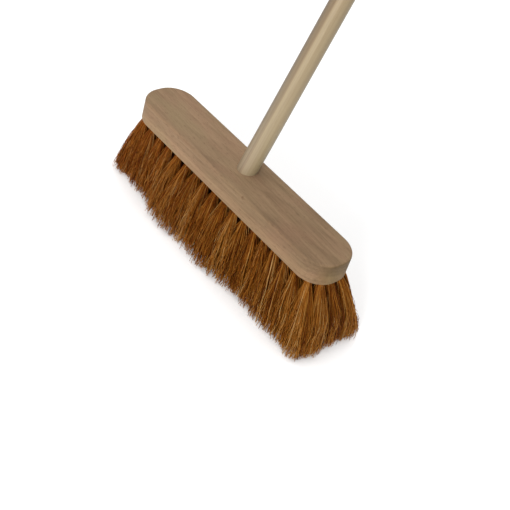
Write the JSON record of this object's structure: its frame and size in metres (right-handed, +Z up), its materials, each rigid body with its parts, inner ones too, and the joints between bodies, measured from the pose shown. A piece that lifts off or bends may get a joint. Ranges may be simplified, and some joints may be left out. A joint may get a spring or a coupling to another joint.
{
  "type": "push broom",
  "caption": "Wooden push broom: a drilled stock with rounded ends, rows of flared coir tufts held by anchors, and a round handle in an angled socket.",
  "frame": {"origin": "on the floor that the bristle tips stand on, under the middle of the stock", "axes": "+X along the stock, +Y across it towards the side the handle leans to, +Z up"},
  "size_m": [0.3402, 0.4161, 1.2326],
  "materials": {
    "stock_wood": "bare planed and sanded",
    "handle_wood": "bare, smooth turned",
    "coir": "coarse matt natural fibre",
    "anchor_metal": "plain flat strip"
  },
  "bodies": {
    "broom_head": {"anchors_row_1": "anchor_metal", "anchors_row_2": "anchor_metal", "anchors_row_3": "anchor_metal", "anchors_row_4": "anchor_metal", "anchors_row_5": "anchor_metal", "stock": "stock_wood", "tufts_column_01": "coir", "tufts_column_02": "coir", "tufts_column_03": "coir", "tufts_column_04": "coir", "tufts_column_05": "coir", "tufts_column_06": "coir", "tufts_column_07": "coir", "tufts_column_08": "coir", "tufts_column_09": "coir", "tufts_column_10": "coir", "tufts_column_11": "coir", "tufts_column_12": "coir", "tufts_column_13": "coir", "tufts_column_14": "coir", "tufts_column_15": "coir", "tufts_column_16": "coir", "tufts_column_17": "coir", "tufts_column_18": "coir", "tufts_column_19": "coir", "tufts_column_20": "coir", "tufts_column_21": "coir", "tufts_column_22": "coir", "tufts_column_23": "coir", "tufts_column_24": "coir", "tufts_column_25": "coir", "tufts_column_26": "coir", "tufts_column_27": "coir", "tufts_column_28": "coir", "tufts_column_29": "coir", "tufts_column_30": "coir", "tufts_column_31": "coir", "tufts_column_32": "coir", "tufts_column_33": "coir", "tufts_column_34": "coir", "tufts_column_35": "coir", "tufts_column_36": "coir", "tufts_column_37": "coir"},
    "handle": {"handle": "handle_wood"}
  },
  "joints": [
    {"name": "handle_pull", "type": "slide", "parent": "broom_head", "child": "handle", "axis": [0, 0.3007, 0.9537], "range_m": [0, 0.015]}
  ]
}
